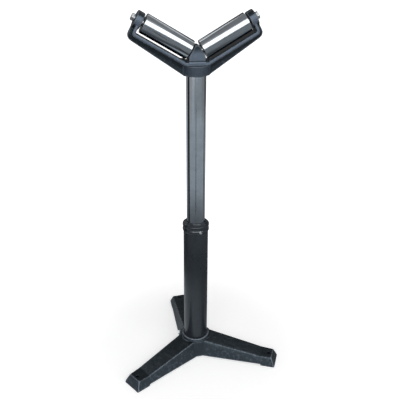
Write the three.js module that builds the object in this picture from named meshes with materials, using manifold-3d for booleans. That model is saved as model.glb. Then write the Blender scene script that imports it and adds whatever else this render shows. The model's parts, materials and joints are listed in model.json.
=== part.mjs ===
import * as THREE from 'three';
import { mergeVertices } from 'three/addons/utils/BufferGeometryUtils.js';
import Module from 'manifold-3d';

// V roller stand: a cast three-leg base, a column that slides in an upright tube,
// and a cast V yoke that turns on the column and carries two steel rollers.
// Millimetres, +Z up. The floor is z = 0 and the column's axis is the Z axis.
// The two rollers lie in the XZ plane, and the viewer stands on the -Y side.

const wasm = await Module();
wasm.setup();

const rad = THREE.MathUtils.degToRad;

// Fits and finish shared by all pieces
const restGap = 0.3;
const slideGap = 0.3;
const pressGap = 0.2;
const cutOverrun = 5;
const seamOverlap = 1;
const weldTolerance = 1e-4;

// How finely round pieces are made: sides of a full turn, and steps of a rounded corner
const roundSteps = 36;
const housingSteps = 24;
const smallSteps = 16;
const cornerSteps = 4;
const hexSides = 6;

// Base casting
const legCount = 3;
const legTurn = rad(93.4);
const footRadius = 249.2;
const footEndLean = 12.3;
const footClearance = 4.5;
const footPadLength = 41.3;
const kneeInset = 47;
const kneeHeight = 27;
const legRootHeight = 55.5;
const legRootHalfWidth = 45;
const legFootHalfWidth = 29.4;
const legRootTopHalfWidth = 30.5;
const legFootTopHalfWidth = 21.1;
const legEdgeRadius = 3.5;
const legEdgeSteps = 2;
const legWall = 8;
const legRoof = 8;
const pocketEdgeRadius = 5;
const pocketInnerRadius = 66;
const pocketEndInset = 50.2;
const footHoleRadius = 4.75;
const footHoleInset = 22.7;
const hubFootRadius = 53;
const hubTopRadius = 43.5;
const hubHeight = 50;
const hubFloor = 4.5;
const hubRingRadius = 40.6;
const hubRingRise = 7.8;
const hubRingSteps = 4;
const hubFloorHoleRadius = 28;
const hubBoltDrop = 7;
const hubBoltPadRadius = 8.5;
const hubBoltPadReach = 49;

// Upright tube
const tubeRadius = 33.75;
const tubeWall = 4;
const tubeTop = 407;

// Column
const columnRadius = 25;
const columnWall = 4;
const columnFootOverhang = 2;
const columnEdge = 1;

// Guide collar in the tube's mouth
const collarHeadHeight = 34.7;
const collarPlugDepth = 10;
const collarLowerBeadRadius = 36.3;
const collarUpperBeadRadius = 36.2;
const collarGrooveRadius = 34.4;
const collarGrooveRise = 13.2;
const collarMouthRadius = 26.5;
const collarBeadSteps = 4;

// Guide ring on the column's foot
const guideRingHeight = 12;
const guidePinRadius = 2;

// Column lock: a socket screw that presses a brass pad on the column
const lockAngle = rad(-78.5);
const lockRise = 6.7;
const lockScrewRadius = 4;
const lockScrewReach = 38;
const lockSocketFlats = 4;
const lockSocketDepth = 4;
const lockPadRadius = 3.2;
const lockPadLength = 3;
const lockTipLength = 1;

// Yoke casting
const rollerAxesHeight = 882;
const armRise = rad(30);
const flangeHalfWidth = 18;
const flangeEdge = 2.5;
const flangeEdgeSteps = 2;
const flangeTopDrop = 28;
const flangeThickness = 10;
const flangeFlatDrop = 17;
const flangeOuterCorner = 13;
const flangeInnerCorner = 4;
const earFlangeStart = 149.3;
const earFlangeThickness = 8.2;
const earStart = 147;
const earLength = 17.9;
const earRadius = 20.8;
const earEdge = 1.2;
const webHalfThickness = 6;
const webRootDrop = 60.2;
const webEndDrop = 47.6;
const webEndReach = 164.6;
const webCorner = 16;
const webTopDrop = 12;
const bossRadius = 31;
const bossFootDrop = 51;
const bossEdge = 2.5;
const socketDepth = 21.7;
const postFace = 15;
const postRise = 21.5;
const postFootHalfWidth = 20.5;
const postHalfDepth = 17.2;
const postEdge = 1.5;
const postHoleEnd = 6.5;

// Screw that keeps the yoke on the column, and the washer it turns on
const keeperAngle = rad(90);
const keeperDrop = 40;
const keeperScrewRadius = 4;
const keeperTipRadius = 3;
const keeperTipLength = 1.8;
const keeperSocketFlats = 4;
const keeperSocketDepth = 3;
const keeperGrooveDepth = 2;
const keeperGrooveHeight = 7.4;
const thrustWasherThickness = 2;
const thrustWasherBore = 20;

// Rollers
const rollerRadius = 24;
const rollerBore = 17;
const rollerStart = 18.3;
const rollerLength = 124.5;
const rollerEdge = 1.4;
const bearingRecess = 1.5;

// Bearings
const bearingWidth = 8;
const bearingOuterRadius = 13;
const bearingOuterShoulder = 10.6;
const bearingInnerShoulder = 7.4;
const ballPitchRadius = 9;
const ballRadius = 2.1;
const ballGap = 0.15;
const ballCount = 7;
const cageHalfWidth = 0.8;
const cageHalfHeight = 0.7;
const shieldThickness = 0.7;
const shieldInset = 0.5;
const raceSteps = 2;
const ballSteps = 6;
const ballLayers = 4;

// Bearing housings
const housingWallPastBearing = 3;
const housingLipRadius = 11;

// Hexagon heads, shared by all bolts
const hexTopShare = 0.95;
const hexTopSlope = rad(30);
const threadEdgeShare = 0.18;

// Axle bolts
const axleRadius = 5;
const spacerRadius = 7.2;
const axleHeadFlats = 17;
const axleHeadHeight = 6.4;
const axleWasherRadius = 9;
const axleWasherThickness = 1.6;

// Hub bolt
const hubBoltRadius = 4;
const hubBoltHeadFlats = 13;
const hubBoltHeadHeight = 5.3;

// Finishes
const castIron = { color: 0x2b3138, roughness: 0.55, metalness: 0.3 };
const darkPaint = { color: 0x2f343a, roughness: 0.4, metalness: 0.2 };
const polishedSteel = { color: 0xb9bdc2, roughness: 0.18, metalness: 1 };
const bearingSteel = { color: 0x9ea2a6, roughness: 0.25, metalness: 1 };
const zincSteel = { color: 0xcfd3d6, roughness: 0.3, metalness: 1 };
const brass = { color: 0xb58d3c, roughness: 0.35, metalness: 1 };
const bronze = { color: 0xa9783f, roughness: 0.4, metalness: 1 };
const nylon = { color: 0xd8d6cc, roughness: 0.5, metalness: 0 };

// Values that follow from the sizes above
const padInnerRadius = footRadius - footPadLength;
const kneeRadius = footRadius - kneeInset;
const pocketOuterRadius = footRadius - pocketEndInset;
const footHoleReach = footRadius - footHoleInset;
const hubBoreRadius = tubeRadius + pressGap;
const hubRingHeight = hubHeight + hubRingRise;
const hubBoltHeight = hubHeight - hubBoltDrop;
const hubFloorTop = footClearance + hubFloor;
const tubeFoot = hubFloorTop + restGap;
const tubeBore = tubeRadius - tubeWall;
const collarHeadFoot = tubeTop + restGap;
const collarPlugFoot = collarHeadFoot - collarPlugDepth;
const collarTop = collarHeadFoot + collarHeadHeight;
const collarGrooveHeight = collarHeadFoot + collarGrooveRise;
const collarBore = columnRadius + slideGap;
const columnBore = columnRadius - columnWall;
const guideRingTop = collarPlugFoot - restGap;
const guideRingFoot = guideRingTop - guideRingHeight;
const columnFoot = guideRingFoot - columnFootOverhang;
const bossFoot = rollerAxesHeight - bossFootDrop;
const keeperHeight = rollerAxesHeight - keeperDrop;
const postTop = rollerAxesHeight + postRise;
const flangeFlatTop = rollerAxesHeight - flangeFlatDrop;
const socketTop = bossFoot + socketDepth;
const thrustWasherTop = socketTop - restGap;
const columnTop = thrustWasherTop - thrustWasherThickness - restGap;
const socketRadius = columnRadius + slideGap;
const earEnd = earStart + earLength;
const earFlangeEnd = earFlangeStart + earFlangeThickness;
const flangeBottomDrop = flangeTopDrop + flangeThickness;
const flangeFlatBottom = flangeFlatTop - flangeThickness;
const rollerEnd = rollerStart + rollerLength;
const housingRadius = rollerBore - pressGap;
const housingBore = bearingOuterRadius + pressGap;
const housingLength = bearingWidth + restGap + housingWallPastBearing;
const lockHeight = collarHeadFoot + lockRise;
const lockPadStart = columnRadius + slideGap;
const lockScrewTip = lockPadStart + lockPadLength + slideGap;
const bearingSteps = 3 * ballCount;
const cageSteps = 2 * ballCount;
const hubBoltAngle = legTurn + Math.PI / legCount;

function toSolid(geometry) {
  const bare = geometry.clone();
  bare.deleteAttribute('normal');
  bare.deleteAttribute('uv');
  const welded = mergeVertices(bare, weldTolerance);
  const vertProperties = Float32Array.from(welded.attributes.position.array);
  const triVerts = Uint32Array.from(welded.index.array);
  return new wasm.Manifold(new wasm.Mesh({ numProp: 3, vertProperties, triVerts }));
}

function toGeometry(solid) {
  const mesh = solid.getMesh();
  const geometry = new THREE.BufferGeometry();
  geometry.setAttribute('position', new THREE.BufferAttribute(mesh.vertProperties, 3));
  geometry.setIndex(new THREE.BufferAttribute(mesh.triVerts, 1));
  geometry.computeVertexNormals();
  return geometry;
}

function joined(geometries) {
  return geometries.map(toSolid).reduce((whole, piece) => whole.add(piece));
}

function cutFrom(solid, geometries) {
  return geometries.map(toSolid).reduce((whole, cutter) => whole.subtract(cutter), solid);
}

// A revolve about Z. The profile lists [radius, height] and runs up the outside.
function turned(profile, steps = roundSteps) {
  const points = profile.map(([radius, height]) => new THREE.Vector2(radius, height));
  return new THREE.LatheGeometry(points, steps).rotateX(rad(90));
}

// A ring with a rectangular section, its four corners cut by the edge size.
function ring(outer, inner, low, high, edge = 0, steps = roundSteps) {
  const outside = edge > 0
    ? [[outer - edge, low], [outer, low + edge], [outer, high - edge], [outer - edge, high]]
    : [[outer, low], [outer, high]];
  return turned([[inner, low], ...outside, [inner, high], [inner, low]], steps);
}

// Points of a profile on an ellipse's arc, after its first point. Angles run up from the outside.
function profileArc([middle, height], [wide, tall], from, to, steps) {
  return Array.from({ length: steps }, (_, i) => {
    const angle = THREE.MathUtils.lerp(from, to, (i + 1) / steps);
    return [middle + wide * Math.cos(angle), height + tall * Math.sin(angle)];
  });
}

function rod(radius, low, high, steps = smallSteps) {
  return turned([[0, low], [radius, low], [radius, high], [0, high]], steps);
}

// A straight prism with a regular polygon section, given by its width over the flats.
function hexPrism(flats, low, high) {
  const corner = flats / 2 / Math.cos(Math.PI / hexSides);
  const prism = new THREE.CylinderGeometry(corner, corner, high - low, hexSides);
  return prism.rotateX(rad(90)).translate(0, 0, (high + low) / 2);
}

// A hexagon head whose top corners are turned off in a cone.
function hexHead(flats, low, high) {
  const topRadius = flats / 2 * hexTopShare;
  const outer = flats / 2 / Math.cos(Math.PI / hexSides) + seamOverlap;
  const cone = turned([
    [0, low - cutOverrun], [outer, low - cutOverrun],
    [outer, high - (outer - topRadius) * Math.tan(hexTopSlope)], [topRadius, high], [0, high],
  ], smallSteps);
  return toSolid(hexPrism(flats, low, high)).intersect(toSolid(cone));
}

// Maps the local Z axis to the level direction at this angle, at this height.
function radialFrame(angle, height) {
  const turn = new THREE.Matrix4().makeRotationZ(angle);
  const tip = new THREE.Matrix4().makeRotationY(rad(90));
  return new THREE.Matrix4().makeTranslation(0, 0, height).multiply(turn).multiply(tip);
}

// Maps the local Z axis to a roller's axis. Side is 1 for the right one and -1 for the left one.
function rollerFrame(side) {
  const tip = new THREE.Matrix4().makeRotationY(side * (rad(90) - armRise));
  return new THREE.Matrix4().makeTranslation(0, 0, rollerAxesHeight).multiply(tip);
}

// A closed shape through corners, each rounded by its own radius.
function roundedShape(corners) {
  const shape = new THREE.Shape();
  corners.forEach(({ at, radius = 0 }, index) => {
    const before = corners[(index + corners.length - 1) % corners.length].at;
    const after = corners[(index + 1) % corners.length].at;
    const back = before.clone().sub(at).normalize();
    const ahead = after.clone().sub(at).normalize();
    const reach = radius / Math.tan(Math.acos(back.dot(ahead)) / 2);
    const start = at.clone().addScaledVector(back, reach);
    const end = at.clone().addScaledVector(ahead, reach);
    if (index === 0) shape.moveTo(start.x, start.y);
    else shape.lineTo(start.x, start.y);
    if (radius > 0) shape.quadraticCurveTo(at.x, at.y, end.x, end.y);
  });
  shape.closePath();
  return shape;
}

// A plate in the XZ plane, centred on y = 0, with its rim rounded by the edge size.
function uprightPlate(shape, halfThickness, edge = 0, edgeSteps = 1) {
  const options = {
    depth: 2 * (halfThickness - edge),
    curveSegments: cornerSteps,
    bevelEnabled: edge > 0,
    bevelThickness: edge,
    bevelSize: edge,
    bevelOffset: -edge,
    bevelSegments: edgeSteps,
  };
  const plate = new THREE.ExtrudeGeometry(shape, options);
  return plate.translate(0, 0, edge - halfThickness).rotateX(rad(90));
}

// A closed skin over rings of points, which all have the same count.
function loft(rings) {
  const count = rings[0].length;
  const positions = rings.flat().flatMap((point) => point.toArray());
  const faces = [];
  for (let row = 0; row + 1 < rings.length; row += 1) {
    for (let i = 0; i < count; i += 1) {
      const next = (i + 1) % count;
      const a = row * count + i;
      const b = row * count + next;
      faces.push(a, b, b + count, a, b + count, a + count);
    }
  }
  const last = (rings.length - 1) * count;
  for (let i = 1; i + 1 < count; i += 1) {
    faces.push(0, i + 1, i);
    faces.push(last, last + i, last + i + 1);
  }
  const geometry = new THREE.BufferGeometry();
  geometry.setAttribute('position', new THREE.Float32BufferAttribute(positions, 3));
  geometry.setIndex(faces);
  return geometry;
}

// Leg sizes at a distance from the hub's axis
function alongLeg(distance, atRoot, atFoot) {
  return THREE.MathUtils.lerp(atRoot, atFoot, distance / footRadius);
}

function legTop(distance) {
  const slope = (legRootHeight - kneeHeight) / kneeRadius;
  return kneeHeight + Math.max(0, kneeRadius - distance) * slope;
}

// One drafted section across a leg, widest at its foot, with its two top edges rounded.
function legSection(distance, low, high, lowHalf, highHalf, edge, lean) {
  const shape = roundedShape([
    { at: new THREE.Vector2(-lowHalf, low) },
    { at: new THREE.Vector2(lowHalf, low) },
    { at: new THREE.Vector2(highHalf, high), radius: edge },
    { at: new THREE.Vector2(-highHalf, high), radius: edge },
  ]);
  return shape.getPoints(legEdgeSteps).slice(0, -1).map(({ x, y }) => (
    new THREE.Vector3(distance - lean * y / high, x, y)));
}

function legBody() {
  const stations = [[0, 0], [kneeRadius, 0], [footRadius, footEndLean]];
  return loft(stations.map(([distance, lean]) => legSection(
    distance, footClearance, legTop(distance),
    alongLeg(distance, legRootHalfWidth, legFootHalfWidth),
    alongLeg(distance, legRootTopHalfWidth, legFootTopHalfWidth),
    legEdgeRadius, lean)));
}

function footPad() {
  const stations = [padInnerRadius, footRadius];
  const outline = stations.map((distance) => alongLeg(distance, legRootHalfWidth, legFootHalfWidth));
  const shape = roundedShape([
    { at: new THREE.Vector2(padInnerRadius, -outline[0]) },
    { at: new THREE.Vector2(footRadius, -outline[1]) },
    { at: new THREE.Vector2(footRadius, outline[1]) },
    { at: new THREE.Vector2(padInnerRadius, outline[0]) },
  ]);
  const leanHere = footEndLean * (footClearance + seamOverlap) / kneeHeight;
  const low = shape.getPoints().slice(0, -1).map(({ x, y }) => new THREE.Vector3(x, y, 0));
  const high = low.map(({ x, y }) => new THREE.Vector3(
    x === footRadius ? x - leanHere : x, y, footClearance + seamOverlap));
  return loft([low, high]);
}

function legPocket() {
  const stations = [pocketInnerRadius, pocketOuterRadius];
  return loft(stations.map((distance) => legSection(
    distance, -cutOverrun, legTop(distance) - legRoof,
    alongLeg(distance, legRootHalfWidth, legFootHalfWidth) - legWall,
    alongLeg(distance, legRootTopHalfWidth, legFootTopHalfWidth) - legWall,
    pocketEdgeRadius, 0)));
}

function hubBody() {
  const ringMiddle = (hubBoreRadius + hubRingRadius) / 2;
  const ringHalf = (hubRingRadius - hubBoreRadius) / 2;
  const crownFoot = hubRingHeight - ringHalf;
  return turned([
    [hubFloorHoleRadius, footClearance], [hubFootRadius, footClearance],
    [hubTopRadius, hubHeight], [hubRingRadius, hubHeight], [hubRingRadius, crownFoot],
    ...profileArc([ringMiddle, crownFoot], [ringHalf, ringHalf], 0, Math.PI, hubRingSteps),
    [hubBoreRadius, hubFloorTop], [hubFloorHoleRadius, hubFloorTop],
    [hubFloorHoleRadius, footClearance],
  ]);
}

function baseCasting() {
  const legTurns = Array.from({ length: legCount }, (_, i) => legTurn + i * 2 * Math.PI / legCount);
  const legs = legTurns.flatMap((turn) => [legBody().rotateZ(turn), footPad().rotateZ(turn)]);
  const boltPad = rod(hubBoltPadRadius, hubBoreRadius + pressGap, hubBoltPadReach)
    .applyMatrix4(radialFrame(hubBoltAngle, hubBoltHeight));
  const bore = rod(hubBoreRadius, hubFloorTop, hubRingHeight + cutOverrun, roundSteps);
  const floorHole = rod(hubFloorHoleRadius, -cutOverrun, hubHeight, roundSteps);
  const boltHole = rod(hubBoltRadius + slideGap, 0, hubBoltPadReach + cutOverrun)
    .applyMatrix4(radialFrame(hubBoltAngle, hubBoltHeight));
  const pockets = legTurns.map((turn) => legPocket().rotateZ(turn));
  const footHoles = legTurns.map((turn) => (
    rod(footHoleRadius, -cutOverrun, kneeHeight + cutOverrun)
      .translate(footHoleReach, 0, 0).rotateZ(turn)));
  const body = joined([...legs, hubBody(), boltPad]);
  return toGeometry(cutFrom(body, [bore, floorHole, boltHole, ...pockets, ...footHoles]));
}

function uprightTube() {
  const wall = ring(tubeRadius, tubeBore, tubeFoot, tubeTop);
  const boltHole = rod(hubBoltRadius + slideGap, 0, tubeRadius + cutOverrun)
    .applyMatrix4(radialFrame(hubBoltAngle, hubBoltHeight));
  return toGeometry(cutFrom(toSolid(wall), [boltHole]));
}

// The collar has a half-round bead, a groove, and a second bead that runs on as a dome to the column.
function guideCollar() {
  const plugRadius = tubeBore - slideGap;
  const quarter = Math.PI / 2;
  const lowerMiddle = (collarHeadFoot + collarGrooveHeight) / 2;
  const upperMiddle = (collarGrooveHeight + collarTop) / 2;
  const lowerBead = [collarLowerBeadRadius - collarGrooveRadius, collarGrooveHeight - lowerMiddle];
  const upperBead = [collarUpperBeadRadius - collarGrooveRadius, collarTop - upperMiddle];
  const dome = [collarUpperBeadRadius - collarMouthRadius, collarTop - upperMiddle];
  const body = turned([
    [collarBore, collarPlugFoot], [plugRadius, collarPlugFoot], [plugRadius, collarHeadFoot],
    [collarGrooveRadius, collarHeadFoot],
    ...profileArc([collarGrooveRadius, lowerMiddle], lowerBead, -quarter, quarter, collarBeadSteps),
    ...profileArc([collarGrooveRadius, upperMiddle], upperBead, -quarter, 0, collarBeadSteps / 2),
    ...profileArc([collarMouthRadius, upperMiddle], dome, 0, quarter, collarBeadSteps),
    [collarBore, collarTop - (collarMouthRadius - collarBore)], [collarBore, collarPlugFoot],
  ]);
  const frame = radialFrame(lockAngle, lockHeight);
  const screwHole = rod(lockScrewRadius + slideGap, 0, lockScrewReach + cutOverrun).applyMatrix4(frame);
  return toGeometry(cutFrom(toSolid(body), [screwHole]));
}

function columnTube() {
  const grooveRadius = columnRadius - keeperGrooveDepth;
  const grooveLow = keeperHeight - keeperGrooveHeight / 2;
  const grooveHigh = keeperHeight + keeperGrooveHeight / 2;
  const body = turned([
    [columnBore, columnFoot], [columnRadius - columnEdge, columnFoot],
    [columnRadius, columnFoot + columnEdge], [columnRadius, grooveLow],
    [grooveRadius, grooveLow], [grooveRadius, grooveHigh], [columnRadius, grooveHigh],
    [columnRadius, columnTop - columnEdge], [columnRadius - columnEdge, columnTop],
    [columnBore, columnTop], [columnBore, columnFoot],
  ]);
  return toGeometry(cutFrom(toSolid(body), [guidePin(guidePinRadius + pressGap, cutOverrun)]));
}

function guidePin(radius, overrun) {
  const reach = tubeBore - slideGap - restGap;
  const height = (guideRingFoot + guideRingTop) / 2;
  return rod(radius, columnBore - overrun, reach + overrun).applyMatrix4(radialFrame(0, height));
}

function guideRing() {
  const body = ring(tubeBore - slideGap, columnRadius + pressGap, guideRingFoot, guideRingTop);
  return toGeometry(cutFrom(toSolid(body), [guidePin(guidePinRadius + pressGap, cutOverrun)]));
}

// Screws without a head: a socket at the outer end, and a narrower tip at the inner end.
function socketScrew(radius, tipRadius, tipLength, inner, outer, flats, depth) {
  const edge = radius * threadEdgeShare;
  const body = turned([
    [0, inner], [tipRadius, inner], [tipRadius, inner + tipLength], [radius, inner + tipLength],
    [radius, outer - edge], [radius - edge, outer], [0, outer],
  ], smallSteps);
  return toGeometry(cutFrom(toSolid(body), [hexPrism(flats, outer - depth, outer + cutOverrun)]));
}

function hexBolt(radius, tip, seat, flats, headHeight) {
  const edge = radius * threadEdgeShare;
  const shank = turned([
    [0, tip], [radius - edge, tip], [radius, tip + edge], [radius, seat + seamOverlap],
    [0, seat + seamOverlap],
  ], smallSteps);
  return toGeometry(toSolid(shank).add(hexHead(flats, seat, seat + headHeight)));
}

// Points in the plane of the rollers: along the right roller's axis, and square above it
function onArm(along, up) {
  return new THREE.Vector2(
    along * Math.cos(armRise) - up * Math.sin(armRise),
    rollerAxesHeight + along * Math.sin(armRise) + up * Math.cos(armRise));
}

// The point of a line beside the arm, at this distance above the axis, that is at this height.
function onArmAtHeight(height, up) {
  return onArm((height - rollerAxesHeight - up * Math.cos(armRise)) / Math.sin(armRise), up);
}

function mirroredPair(rightCorners) {
  const left = rightCorners.map(({ at, radius }) => ({ at: new THREE.Vector2(-at.x, at.y), radius }));
  return roundedShape([...rightCorners, ...left.reverse()]);
}

function yokeFlange() {
  return mirroredPair([
    { at: onArmAtHeight(flangeFlatBottom, -flangeBottomDrop) },
    { at: onArm(earFlangeEnd, -flangeBottomDrop), radius: flangeOuterCorner },
    { at: onArm(earFlangeEnd, 0) },
    { at: onArm(earFlangeStart, 0) },
    { at: onArm(earFlangeStart, -flangeTopDrop), radius: flangeInnerCorner },
    { at: onArmAtHeight(flangeFlatTop, -flangeTopDrop) },
  ]);
}

function yokeWeb() {
  const inFlange = -(flangeTopDrop + flangeBottomDrop) / 2;
  const inEar = (earFlangeStart + earFlangeEnd) / 2;
  return mirroredPair([
    { at: onArm(0, -webRootDrop) },
    { at: onArm(webEndReach, -webEndDrop), radius: webCorner },
    { at: onArm(webEndReach, -webTopDrop) },
    { at: onArm(inEar, -webTopDrop) },
    { at: onArm(inEar, inFlange) },
    { at: onArmAtHeight((flangeFlatTop + flangeFlatBottom) / 2, inFlange) },
  ]);
}

function yokePost() {
  const sideX = (height) => (postFace - (height - rollerAxesHeight) * Math.sin(armRise)) / Math.cos(armRise);
  const shoulder = rollerAxesHeight
    + (postFace - postFootHalfWidth * Math.cos(armRise)) / Math.sin(armRise);
  return mirroredPair([
    { at: new THREE.Vector2(postFootHalfWidth, flangeFlatTop - seamOverlap) },
    { at: new THREE.Vector2(postFootHalfWidth, shoulder) },
    { at: new THREE.Vector2(sideX(postTop), postTop) },
  ]);
}

function yokeCasting() {
  const boss = turned([
    [0, bossFoot], [bossRadius - bossEdge, bossFoot], [bossRadius, bossFoot + bossEdge],
    [bossRadius, flangeFlatBottom + seamOverlap], [0, flangeFlatBottom + seamOverlap],
  ]);
  const ears = [-1, 1].map((side) => turned([
    [0, earStart], [earRadius - earEdge, earStart], [earRadius, earStart + earEdge],
    [earRadius, earEnd - earEdge], [earRadius - earEdge, earEnd], [0, earEnd],
  ], housingSteps).applyMatrix4(rollerFrame(side)));
  const socket = rod(socketRadius, bossFoot - cutOverrun, socketTop, roundSteps);
  const axleHoles = [-1, 1].map((side) => (
    rod(axleRadius + slideGap, postHoleEnd, earEnd + cutOverrun).applyMatrix4(rollerFrame(side))));
  const keeperHole = rod(keeperScrewRadius + pressGap, 0, bossRadius + cutOverrun)
    .applyMatrix4(radialFrame(keeperAngle, keeperHeight));
  const body = joined([
    uprightPlate(yokeFlange(), flangeHalfWidth, flangeEdge, flangeEdgeSteps),
    uprightPlate(yokeWeb(), webHalfThickness),
    uprightPlate(yokePost(), postHalfDepth, postEdge),
    boss, ...ears,
  ]);
  return toGeometry(cutFrom(body, [socket, ...axleHoles, keeperHole]));
}

function rollerShell() {
  return turned([
    [rollerBore, rollerStart], [rollerRadius - rollerEdge, rollerStart],
    [rollerRadius, rollerStart + rollerEdge], [rollerRadius, rollerEnd - rollerEdge],
    [rollerRadius - rollerEdge, rollerEnd], [rollerBore, rollerEnd], [rollerBore, rollerStart],
  ]);
}

// The pieces of a roller's end are modelled with the bearing's outer face at zero,
// looking into the roller along +Z.
function bearingHousing() {
  const lip = bearingWidth + restGap;
  return turned([
    [housingBore, 0], [housingRadius, 0], [housingRadius, housingLength],
    [housingLipRadius, housingLength], [housingLipRadius, lip], [housingBore, lip], [housingBore, 0],
  ], housingSteps);
}

// The groove that the balls run in, from one side of the bearing to the other.
function race(shoulder, inward) {
  const grooveRadius = ballRadius + ballGap;
  const halfGroove = Math.sqrt(grooveRadius ** 2 - (shoulder - ballPitchRadius) ** 2);
  const spread = Math.asin(halfGroove / grooveRadius);
  return Array.from({ length: raceSteps + 1 }, (_, i) => {
    const angle = spread * (2 * i / raceSteps - 1);
    return [
      ballPitchRadius + inward * grooveRadius * Math.cos(angle),
      bearingWidth / 2 + grooveRadius * Math.sin(angle),
    ];
  });
}

function bearingOuterRing() {
  return turned([
    [bearingOuterShoulder, 0], [bearingOuterRadius, 0], [bearingOuterRadius, bearingWidth],
    [bearingOuterShoulder, bearingWidth], ...race(bearingOuterShoulder, 1).reverse(),
    [bearingOuterShoulder, 0],
  ], bearingSteps);
}

function bearingInnerRing() {
  const bore = axleRadius + pressGap;
  return turned([
    [bore, 0], [bearingInnerShoulder, 0], ...race(bearingInnerShoulder, -1),
    [bearingInnerShoulder, bearingWidth], [bore, bearingWidth], [bore, 0],
  ], bearingSteps);
}

// The cage's corners and the races' corners stand where the balls are.
function ballCage() {
  const middle = bearingWidth / 2;
  const band = ring(ballPitchRadius + cageHalfWidth, ballPitchRadius - cageHalfWidth,
    middle - cageHalfHeight, middle + cageHalfHeight, 0, cageSteps);
  const balls = Array.from({ length: ballCount }, (_, i) => (
    new THREE.SphereGeometry(ballRadius, ballSteps, ballLayers).translate(0, -ballPitchRadius, middle)
      .rotateZ(2 * Math.PI * i / ballCount)));
  return toGeometry(joined([band, ...balls]));
}

function bearingShield() {
  return ring(bearingOuterShoulder - pressGap, bearingInnerShoulder + slideGap,
    shieldInset, shieldInset + shieldThickness, 0, bearingSteps);
}

function mesh(name, geometry, finish) {
  const piece = new THREE.Mesh(geometry, new THREE.MeshStandardMaterial(finish));
  piece.name = name;
  return piece;
}

function standGroup() {
  const group = new THREE.Group();
  const hubBolt = mesh('hub_bolt', hexBolt(hubBoltRadius, tubeBore + restGap,
    hubBoltPadReach + restGap, hubBoltHeadFlats, hubBoltHeadHeight), zincSteel);
  hubBolt.applyMatrix4(radialFrame(hubBoltAngle, hubBoltHeight));
  group.add(
    mesh('base_casting', baseCasting(), castIron),
    mesh('upright_tube', uprightTube(), darkPaint),
    mesh('guide_collar', guideCollar(), darkPaint),
    hubBolt,
  );
  return group;
}

function lockGroup() {
  const group = new THREE.Group();
  group.applyMatrix4(radialFrame(lockAngle, lockHeight));
  group.add(
    mesh('lock_pad', rod(lockPadRadius, lockPadStart, lockPadStart + lockPadLength), brass),
    mesh('lock_screw', socketScrew(lockScrewRadius, lockPadRadius, lockTipLength, lockScrewTip,
      lockScrewReach, lockSocketFlats, lockSocketDepth), zincSteel),
  );
  return group;
}

function columnGroup() {
  const group = new THREE.Group();
  group.add(
    mesh('column', columnTube(), polishedSteel),
    mesh('column_guide_ring', guideRing(), nylon),
    mesh('guide_ring_pin', toGeometry(toSolid(guidePin(guidePinRadius, 0))), zincSteel),
  );
  return group;
}

function headGroup() {
  const group = new THREE.Group();
  const washer = ring(columnRadius - restGap, thrustWasherBore,
    thrustWasherTop - thrustWasherThickness, thrustWasherTop, 0, housingSteps);
  const keeper = mesh('yoke_keeper_screw', socketScrew(keeperScrewRadius, keeperTipRadius,
    keeperTipLength, columnRadius - keeperGrooveDepth + restGap, bossRadius, keeperSocketFlats,
    keeperSocketDepth), zincSteel);
  keeper.applyMatrix4(radialFrame(keeperAngle, keeperHeight));
  group.add(mesh('yoke_casting', yokeCasting(), castIron), mesh('thrust_washer', washer, bronze), keeper);
  return group;
}

// What one axle bolt clamps between the post and the ear
function axleGroup(label, side) {
  const group = new THREE.Group();
  group.applyMatrix4(rollerFrame(side));
  const innerFace = rollerStart + bearingRecess;
  const outerFace = rollerEnd - bearingRecess;
  const washerSeat = earEnd + restGap;
  const headSeat = washerSeat + axleWasherThickness + restGap;
  const spacerBore = axleRadius + pressGap;
  const spacer = (low, high) => ring(spacerRadius, spacerBore, low, high, 0, smallSteps);
  const cone = (name, start) => {
    const piece = mesh(name, bearingInnerRing(), bearingSteel);
    piece.position.z = start;
    return piece;
  };
  group.add(
    mesh(`${label}_axle_bolt`, hexBolt(axleRadius, postHoleEnd + restGap, headSeat, axleHeadFlats,
      axleHeadHeight), zincSteel),
    mesh(`${label}_axle_washer`, ring(axleWasherRadius, axleRadius + pressGap, washerSeat,
      washerSeat + axleWasherThickness, 0, smallSteps), zincSteel),
    mesh(`${label}_inner_spacer`, spacer(postFace + restGap, innerFace - restGap), bearingSteel),
    mesh(`${label}_outer_spacer`, spacer(outerFace + restGap, earStart - restGap), bearingSteel),
    cone(`${label}_inner_bearing_cone`, innerFace),
    cone(`${label}_outer_bearing_cone`, outerFace - bearingWidth),
  );
  return group;
}

// One end of a roller: housing, bearing and shield, all turning with the shell
function rollerEndPieces(label) {
  return [
    mesh(`${label}_bearing_housing`, bearingHousing(), bearingSteel),
    mesh(`${label}_bearing_cup`, bearingOuterRing(), bearingSteel),
    mesh(`${label}_ball_cage`, ballCage(), bearingSteel),
    mesh(`${label}_bearing_shield`, bearingShield(), bearingSteel),
  ];
}

function rollerGroup(label, side) {
  const group = new THREE.Group();
  group.applyMatrix4(rollerFrame(side));
  const innerEnd = new THREE.Group();
  innerEnd.position.z = rollerStart + bearingRecess;
  innerEnd.add(...rollerEndPieces(`${label}_inner`));
  const outerEnd = new THREE.Group();
  outerEnd.position.z = rollerEnd - bearingRecess;
  outerEnd.rotation.x = Math.PI;
  outerEnd.add(...rollerEndPieces(`${label}_outer`));
  group.add(mesh(`${label}_roller_shell`, rollerShell(), polishedSteel), innerEnd, outerEnd);
  return group;
}

const stand = new THREE.Group();
stand.add(standGroup(), lockGroup(), columnGroup(), headGroup());
[['left', -1], ['right', 1]].forEach(([label, side]) => {
  stand.add(axleGroup(label, side), rollerGroup(label, side));
});

export default stand;
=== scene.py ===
"""V roller stand: the finish of every piece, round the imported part. Metres, +Z up.

The base and yoke are sand castings under dark enamel, the tube and its collar are smooth
enamelled steel, and the column, rollers and bolts are bare or plated steel.
"""
import json
import math

import bmesh
import bpy
import numpy as np
from mathutils import Matrix, Vector, noise

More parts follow.
